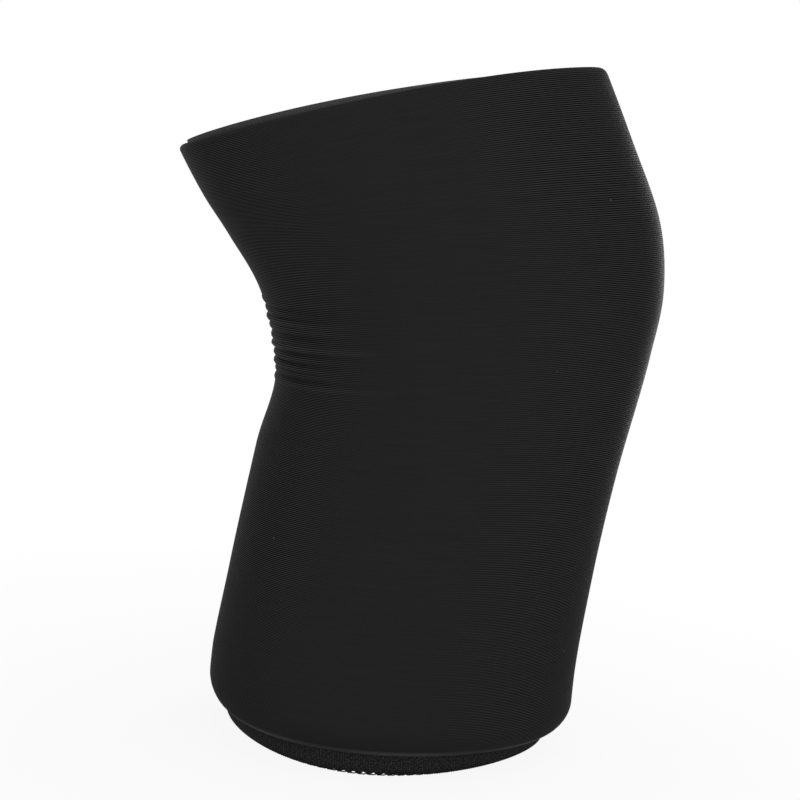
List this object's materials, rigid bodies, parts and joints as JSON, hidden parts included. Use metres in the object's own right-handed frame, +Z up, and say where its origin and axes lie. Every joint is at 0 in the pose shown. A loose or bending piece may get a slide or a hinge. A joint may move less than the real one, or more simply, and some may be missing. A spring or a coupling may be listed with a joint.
{
  "type": "knee brace",
  "caption": "Pull-on knit compression knee sleeve with turned hems and elastic grip bands, bent a little at the knee and flexing there.",
  "frame": {"origin": "on the floor under the middle of the bounding box, with the sleeve standing on the flat rim of its lower band", "axes": "+Z up the leg from the calf to the thigh, +X to the front where the kneecap lies, +Y across the leg"},
  "size_m": [0.1786, 0.142, 0.2511],
  "materials": {
    "knit": "black nylon and elastane rib knit, dull with a soft sheen",
    "elastic": "black knitted elastic tape, dull",
    "silicone": "black silicone, satin",
    "thread": "black polyester sewing thread"
  },
  "bodies": {
    "calf": {"calf_sleeve": "knit", "knee_section": "knit", "lower_grip_band": "elastic", "lower_grip_bead": "silicone", "lower_hem_stitch": "thread", "lower_edge_thread": "thread"},
    "thigh": {"thigh_sleeve": "knit", "upper_grip_band": "elastic", "upper_grip_bead": "silicone", "upper_hem_stitch": "thread", "upper_edge_thread": "thread"}
  },
  "joints": [
    {"name": "knee_flex", "type": "hinge", "parent": "calf", "child": "thigh", "pos_m": [0.005, 0, 0.1514], "axis": [0, -1, 0], "range_deg": [-26, 64], "stiffness_Nm_per_rad": 0.5, "deforming": ["knee_section"]}
  ]
}
